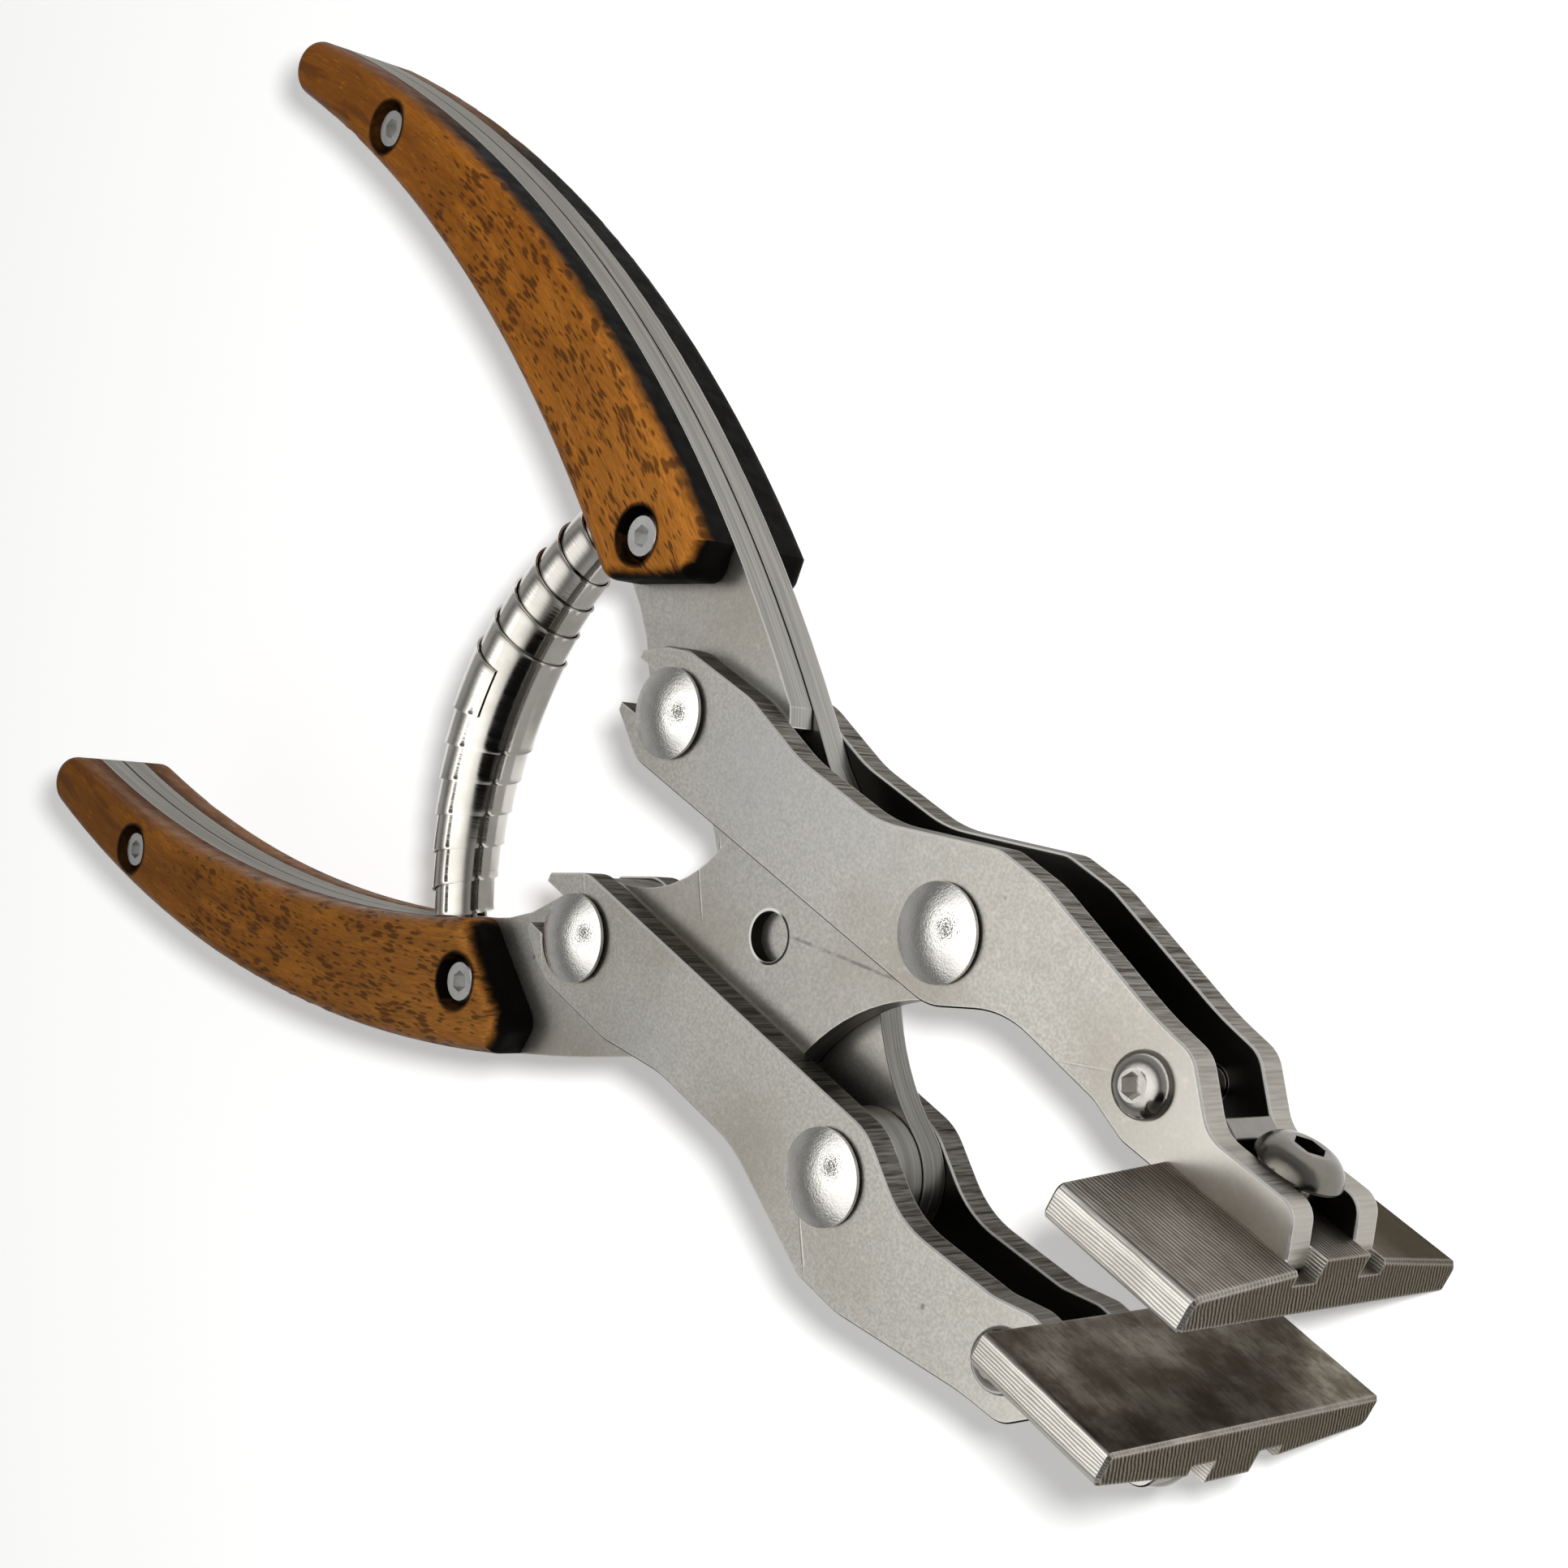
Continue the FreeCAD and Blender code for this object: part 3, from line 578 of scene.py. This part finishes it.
def wood_pores(wood, grain, from_tip):
    """Short dark dashes in two sizes, dense in the middle and front, none near the tip."""
    sway = wood.math("MULTIPLY", wood.noise(grain, 220, 1.0), 0.0012)
    wobble = wood.vector("ADD", grain, wood.join(0.0, sway, 0.0))
    size = wood.noise(grain, 300, 2.0)
    dense = wood.span(from_tip, 0.012, 0.040)
    pore = 0.0
    for scale, reach in PORE_SIZES:
        dash = wood.cells(wood.stretch(wobble, 0.20, 1.0, 0.22), scale)
        limit = wood.math("MULTIPLY", dense, wood.span(size, 0.33, 0.66, reach * 0.45, reach))
        dash = wood.span(wood.math("SUBTRACT", limit, dash), 0.0, 0.22)
        pore = wood.math("MAXIMUM", dash, pore)
    return pore


def tip_waves(wood, grain, from_tip):
    """Long dark waves near the tip."""
    wave = wood.noise(wood.stretch(grain, 0.16, 1.0, 1.0), 260, 2.0, 0.5, 2.2)
    return wood.math("MULTIPLY", wood.span(wave, 0.50, 0.64), wood.span(from_tip, 0.034, 0.014))


print("pores a metre:", [scale for scale, reach in PORE_SIZES])

# %% Char on the walls, the front end and the screw holes
SCREWS = ((-32.69, 25.69), (-96.39, 46.75))     # mm from the centre pin, upper grip
CHAR = (0.0012, 0.0009, 0.0007)
BACK_DEPTH = 0.004                              # the back scales are charred from their faces on


def wood_char(wood, side, from_centre, from_tip):
    x, y, radius, z = from_centre
    nx, ny, nz = wood.split(wood.normal)
    ny = wood.math("MULTIPLY", ny, side)
    out_x = wood.math("DIVIDE", x, radius)
    out_y = wood.math("DIVIDE", y, radius)
    outward = wood.math("ADD", wood.math("MULTIPLY", nx, out_x), wood.math("MULTIPLY", ny, out_y))
    forward = wood.math("SUBTRACT", wood.math("MULTIPLY", nx, out_y), wood.math("MULTIPLY", ny, out_x))
    ragged = wood.math("MULTIPLY", wood.math("SUBTRACT", wood.noise(wood.point, 260, 3.0, 0.6), 0.5), 0.5)
    # the outer wall turns from brown to black with depth under the face, along a ragged line
    depth = wood.math("SUBTRACT", SCALE_TOP, wood.math("ABSOLUTE", z))
    depth = wood.math("ADD", depth, wood.math("MULTIPLY", ragged, 0.0030))
    depth = wood.math("ADD", depth, wood.span(z, 0.0, -0.001, 0.0, BACK_DEPTH))
    outer = wood.product(wood.span(outward, 0.25, 0.85), wood.span(depth, 0.0002, 0.0024),
                         wood.span(from_tip, 0.004, 0.034, 0.30, 1.0))
    front = wood.span(wood.math("ADD", forward, ragged), 0.30, 0.74)
    front = wood.math("MULTIPLY", front, wood.span(from_tip, 0.070, 0.080))
    char = wood.math("MAXIMUM", outer, front)
    char = wood.math("MAXIMUM", char, wood.span(wood.math("ABSOLUTE", z), 0.0052, 0.0034, 0.0, 0.55))
    for across, up in SCREWS:
        spot = (mm(across, 0).x, mm(0, side * up).y, 0)
        burnt = wood.span(wood.vector("DISTANCE", wood.stretch(wood.point, 1, 1, 0), spot), 0.0035, 0.0030)
        burnt = wood.math("MULTIPLY", burnt, wood.span(ragged, -0.2, 0.1, 0.75, 1.0))
        char = wood.math("MAXIMUM", char, burnt)
    return char


print("charred holes:", 2 * 2 * len(SCREWS))

# %% Wood finish
def wood_finish(name, side, warm, dark):
    wood = Finish(name)
    x, y, z = wood.split(wood.vector("SUBTRACT", wood.point, tuple(bow_centre(side))))
    y = wood.math("MULTIPLY", y, side)
    radius = wood.math("SQRT", wood.math("ADD", wood.math("MULTIPLY", x, x), wood.math("MULTIPLY", y, y)))
    sweep = wood.math("MULTIPLY", wood.math("ARCTAN2", x, y), BOW_R / 1000)
    grain = wood.join(sweep, radius, z)
    from_tip = wood.math("SUBTRACT", wood.split(wood.point)[0], TIP_X)
    fibres, colour = wood_colour(wood, grain, from_tip, warm, dark)
    pore = wood_pores(wood, grain, from_tip)
    colour = wood.mix(wood.math("MULTIPLY", pore, 0.72), colour, PORE_DARK)
    colour = wood.mix(wood.math("MULTIPLY", tip_waves(wood, grain, from_tip), 0.55), colour, WAVE_DARK)
    char = wood_char(wood, side, (x, y, radius, z), from_tip)
    wood.set("Base Color", wood.mix(char, colour, CHAR))
    rough = wood.span(wood.noise(grain, 500, 2.0), 0.3, 0.7, 0.36, 0.50)
    wood.set("Roughness", wood.math("ADD", rough, wood.math("MULTIPLY", char, 0.22)))
    wood.set("Specular IOR Level", 0.05)
    relief = wood.math("SUBTRACT", wood.math("MULTIPLY", fibres, 0.3), pore)
    relief = wood.math("MULTIPLY", relief, wood.unlike(wood.math("MULTIPLY", char, 0.8)))
    wood.set("Normal", wood.bump(relief, 0.00012, 0.6))
    return wood


wood_finish("upper_wood", 1, (0.34, 0.120, 0.014), (0.195, 0.062, 0.008)).give(
    "upper_front_scale", "upper_back_scale")
wood_finish("lower_wood", -1, (0.24, 0.090, 0.013), (0.135, 0.046, 0.007)).give(
    "lower_front_scale", "lower_back_scale")
print("pieces with a finish so far:", len(given))

# %% [markdown]
# ## Fasteners
# The big rivets have shallow spun domes, buffed bright and slightly uneven. The button
# and cap screws are stock steel with hex sockets, from bright zinc to dark oiled steel.
# They differ only in colour and gloss, so one recipe serves them all.

# %% Fastener finishes
FASTENERS = (                           # colour, gloss from and to, depth of the unevenness
    ("polished_rivet", (0.72, 0.71, 0.68), 0.03, 0.10, 0.00005, ("front_rivet", "rear_rivet")),
    ("polished_screw", (0.45, 0.435, 0.41), 0.10, 0.20, 0.00001, ("cross_screw",)),
    ("dark_screw", (0.17, 0.16, 0.14), 0.18, 0.30, 0.00001, ("pad_screw",)),
    ("bright_screw", (0.82, 0.82, 0.81), 0.16, 0.28, 0.00001, ("front_scale_screws", "back_scale_screws")),
    ("dark_nut", (0.21, 0.20, 0.185), 0.30, 0.42, 0.00001,
     ("cross_inner_nut", "cross_outer_nut", "nose_bar")),
)


def polished(name, colour, low, high, uneven):
    steel = Finish(name)
    cloud = steel.noise(steel.point, 380, 3.0)
    fine = steel.noise(steel.point, 5200, 2.0)
    steel.set("Base Color", steel.mix(steel.span(cloud, 0.3, 0.7), colour, shade(colour, 0.86)))
    steel.set("Metallic", 1.0)
    steel.set("Roughness", steel.span(cloud, 0.3, 0.7, low, high))
    steel.set("Normal", steel.bump(steel.math("ADD", fine, steel.math("MULTIPLY", cloud, 2.0)), uneven, 0.5))
    return steel


for name, colour, low, high, uneven, pieces in FASTENERS:
    polished(name, colour, low, high, uneven).give(*both(*pieces))
    print(name, "on", len(both(*pieces)))

# %% [markdown]
# ## Pads
# The pads were wire-cut from tool steel and left as cut: fine parallel ridges run from
# heel to toe on the outer faces, straight across the end faces and aslant over the
# toes. The working faces were rubbed flat and carry a smoky brown-grey bloom. Ridges
# this fine are relief in the finish; the grooves that seat the plates are real shape.

# %% Pad finish
PITCH_OUTER, PITCH_END, PITCH_TOE = 0.00042, 0.00029, 0.00046       # metres from ridge to ridge
TOE_SLANT = 0.55


def facing(steel, part):
    """1 on faces that look along one direction, either way."""
    return steel.span(steel.math("ABSOLUTE", part), 0.5, 0.8)


def pad_ridges(steel):
    """Ridges of the outer, end and toe faces, swaying a little as the wire did."""
    x, y, z = steel.split(steel.point)
    sway = steel.math("MULTIPLY", steel.noise(steel.stretch(steel.point, 0.3, 1.0, 1.0), 500, 2.0), 0.0005)
    across = steel.math("ADD", z, sway)
    slanted = steel.math("SUBTRACT", across, steel.math("MULTIPLY", y, TOE_SLANT))
    return (steel.ridge(across, PITCH_OUTER), steel.ridge(steel.math("ADD", y, sway), PITCH_END),
            steel.ridge(slanted, PITCH_TOE))


def pad_finish():
    steel = Finish("pad_steel")
    nx, ny, nz = steel.split(steel.normal)
    x, y, z = steel.split(steel.point)
    up, ends = facing(steel, ny), facing(steel, nz)
    outer_ridge, end_ridge, toe_ridge = pad_ridges(steel)
    grit = steel.noise(steel.stretch(steel.point, 0.12, 1.0, 1.0), 4200, 2.0, 0.6)
    bloom = steel.noise(steel.point, 110, 5.0, 0.62)
    smoke = steel.noise(steel.vector("ADD", steel.point, (0.4, 0.2, 0.1)), 170, 5.0, 0.7)
    # outer face, darker on the wing away from the light, and the face that grips
    away = steel.span(steel.math("SUBTRACT", z, PIVOT.z), -0.004, -0.012)
    outer = steel.mix(outer_ridge, (0.14, 0.128, 0.11), (0.35, 0.33, 0.295))
    outer = steel.mix(steel.math("MULTIPLY", away, 0.72), outer, (0.035, 0.032, 0.027))
    working = steel.mix(steel.span(smoke, 0.38, 0.66), (0.17, 0.152, 0.128), (0.40, 0.37, 0.32))
    half = steel.math("SIGN", steel.math("SUBTRACT", y, PIVOT.y))
    inward = steel.span(steel.math("MULTIPLY", ny, half), -0.5, -0.8)
    outer = steel.mix(inward, outer, working)
    # toes, then grit and bloom over everything but the ends
    toe = steel.mix(toe_ridge, (0.045, 0.041, 0.035), (0.23, 0.215, 0.19))
    colour = steel.mix(up, toe, outer)
    colour = steel.mix(steel.span(grit, 0.45, 0.75, 0.0, 0.5), colour, (0.07, 0.062, 0.052))
    colour = steel.mix(steel.span(bloom, 0.40, 0.70, 0.0, 0.55), colour, (0.10, 0.087, 0.07))
    end = steel.mix(end_ridge, (0.58, 0.555, 0.505), (0.96, 0.94, 0.89))
    end = steel.mix(steel.span(bloom, 0.45, 0.70, 0.0, 0.35), end, (0.30, 0.27, 0.225))
    colour = steel.mix(ends, colour, end)
    # lighter along the sharp edges
    rim = steel.math("MULTIPLY", steel.edge_mask(0.0004), 0.5)
    steel.set("Base Color", steel.mix(rim, colour, (0.62, 0.60, 0.56)))
    steel.set("Metallic", 1.0)
    steel.set("Roughness", steel.span(bloom, 0.3, 0.7, 0.30, 0.42))
    steel.set("Specular Tint", (0.35, 0.33, 0.30, 1))
    sides = steel.math("MULTIPLY", outer_ridge, steel.math("MULTIPLY", up, steel.unlike(inward)))
    toes = steel.math("MULTIPLY", toe_ridge, steel.unlike(steel.math("MAXIMUM", up, ends)))
    relief = steel.math("ADD", steel.math("ADD", sides, toes), steel.math("MULTIPLY", end_ridge, ends))
    relief = steel.math("ADD", relief, steel.math("MULTIPLY", grit, 0.5))
    steel.set("Normal", steel.bump(relief, 0.00003, 0.6))
    return steel


pad_finish().give(*both("pad"))
print("ridges in ten millimetres:", round(0.010 / PITCH_OUTER))

# %% [markdown]
# ## Wound spring
# The spring is one long tapering strip of spring steel, rolled up like a paper horn at
# both ends at once. The narrow end of the strip is the outermost turn, in the middle;
# every turn inside it is wider and a little tighter, so the roll steps down towards
# both handles. Its axis is bowed. The roll could be stacked from rings, but then no
# step would run round it as a spiral, so the sheet itself is computed: one direction of
# the grid is the winding angle, the other the place along the bowed axis. Both rims
# flare a hair's breadth, as a rolled edge does, and catch the light.

# %% Sizes of the roll, in mm from the centre pin
BOW = {"centre": -6.215, "radius": 44.775, "seat": 24.354}
TURNS = 6.6
OUTER_R, PER_TURN_R = 4.9, 0.29             # radius of the outermost turn, and its loss per turn
HALF_LENGTH, PER_TURN_LENGTH = 2.9, 3.85    # half the strip's width outside, and its gain per turn
STRIP, FLARE, FLARE_REACH = 0.24, 0.07, 0.22
START = math.radians(116)                   # where the strip's outer end lies round the roll
GRIP_CENTRE, GRIP_EDGE_R = (-125.43, 124.26), 169.4     # just inside a grip's inner edge
AROUND, BODY = 56, 30                       # grid steps a turn, and places between the two rims
RIM_STEPS = (0.0, 0.12, 0.3, 0.6)           # extra places, in from each rim


def roll_point(s, theta, r):
    """Point at arc length s along the bowed axis, turned theta about it, r from it."""
    phi = s / BOW["radius"]
    n = Vector((-math.cos(phi), math.sin(phi), 0))
    axis = Vector((BOW["centre"], 0, 0)) + n * BOW["radius"]
    return axis + n * (r * math.cos(theta)) + Vector((0, 0, r * math.sin(theta)))


def reach_along(theta, r, side, wanted):
    """How far the strip may run towards one handle before it touches the grip plates."""
    grip = Vector((GRIP_CENTRE[0], -side * GRIP_CENTRE[1], 0))
    near, far = 0.0, wanted
    for halving in range(18):
        s = (near + far) / 2
        p = roll_point(side * s, theta, r)
        inside = (Vector((p.x, p.y, 0)) - grip).length < GRIP_EDGE_R
        near, far = (s, far) if inside else (near, s)
    return near


print("inner turn radius:", round(OUTER_R - PER_TURN_R * TURNS, 3), "mm")

# %% Build the wound spring
def roll_grid():
    """Points of the strip's outer skin, then of its inner skin, and the grid's size."""
    rows, across = int(TURNS * AROUND) + 1, BODY + 2 * len(RIM_STEPS)
    points = []
    for skin in (0.0, -STRIP):
        for i in range(rows):
            turns = i / AROUND
            theta = START - 2 * math.pi * turns
            r = OUTER_R - PER_TURN_R * turns
            wanted = HALF_LENGTH + PER_TURN_LENGTH * turns
            up = reach_along(theta, r, 1, wanted)
            down = reach_along(theta, r, -1, wanted)
            places = [-down + d for d in RIM_STEPS]
            places += [-down + 1 + (up + down - 2) * k / (BODY - 1) for k in range(BODY)]
            places += [up - d for d in reversed(RIM_STEPS)]
            for s in places:
                edge = min(s + down, up - s)
                flare = FLARE * math.exp(-edge / FLARE_REACH)
                points.append(mm(*roll_point(s, theta, r + skin + flare)))
    return points, rows, across


def roll_faces(rows, across):
    """Quads of both skins, of the two rims and of the strip's two ends."""
    inner = rows * across
    faces = []
    for i in range(rows - 1):
        for j in range(across - 1):
            a, b, c, d = i * across + j, i * across + j + 1, (i + 1) * across + j + 1, (i + 1) * across + j
            faces.append((a, b, c, d))
            faces.append((inner + d, inner + c, inner + b, inner + a))
        for j in (0, across - 1):
            a, b = i * across + j, (i + 1) * across + j
            rim = (a, b, inner + b, inner + a)
            faces.append(rim if j == 0 else rim[::-1])
    for i in (0, rows - 1):
        for j in range(across - 1):
            a, b = i * across + j, i * across + j + 1
            end = (a, inner + a, inner + b, b)
            faces.append(end if i == 0 else end[::-1])
    return faces


def mark_sharp(mesh):
    """Keeps the strip's edges crisp under smooth shading."""
    sharp = mesh.attributes.new("sharp_edge", "BOOLEAN", "EDGE")
    normals = [tuple(face.normal) for face in mesh.polygons]
    beside = {}
    for face in mesh.polygons:
        for key in face.edge_keys:
            beside.setdefault(key, []).append(face.index)
    for edge in mesh.edges:
        pair = beside[tuple(sorted(edge.vertices))]
        if len(pair) == 2 and Vector(normals[pair[0]]).dot(Vector(normals[pair[1]])) < 0.6:
            sharp.data[edge.index].value = True


points, rows, across = roll_grid()
mesh = bpy.data.meshes.new("wound_spring")
mesh.from_pydata(points, [], roll_faces(rows, across))
mesh.shade_smooth()
mesh.validate()
mark_sharp(mesh)
spring = bpy.data.objects.new("wound_spring", mesh)
bpy.context.scene.collection.objects.link(spring)
print("spring grid:", rows, "by", across, "faces:", len(mesh.polygons))

# %% [markdown]
# ## The spring's finish
# Cold-rolled strip is bright, with faint lines along its length, which run round the
# roll. Each end of the roll sits against a grip, so it bends from one seat to the other
# as the handles close. The plain spring in the solid model stays as what the real one
# replaces.

# %% Finish the spring and hide the plain one
def spring_finish():
    steel = Finish("spring_steel")
    x, y, z = steel.split(steel.vector("SUBTRACT", steel.point, tuple(mm(BOW["centre"], 0))))
    bow_r = BOW["radius"] / 1000
    along = steel.math("MULTIPLY", steel.math("ARCTAN2", y, steel.math("MULTIPLY", x, -1.0)), bow_r)
    out = steel.math("SUBTRACT", steel.vector("LENGTH", steel.join(x, y, 0.0)), bow_r)
    lines = steel.noise(steel.stretch(steel.join(along, out, z), 1.0, 0.04, 0.04), 3800, 2.0, 0.6)
    smoke = steel.noise(steel.point, 160, 3.0)
    tone = steel.span(smoke, 0.35, 0.7)
    steel.set("Base Color", steel.mix(tone, (0.62, 0.60, 0.56), (0.49, 0.47, 0.43)))
    steel.set("Metallic", 1.0)
    steel.set("Roughness", steel.span(lines, 0.3, 0.7, 0.09, 0.17))
    steel.set("Normal", steel.bump(lines, 0.000012, 0.6))
    return steel


mesh.materials.append(spring_finish().material)
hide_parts("volute_spring")
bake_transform(spring)
polished("spring_core", (0.70, 0.68, 0.64), 0.2, 0.3, 0.00001).give("volute_spring")
print("spring seats, mm apart:", 2 * BOW["seat"])

# %% List any piece left without a finish
print("left without a finish:", sorted(set(nodes) - given))
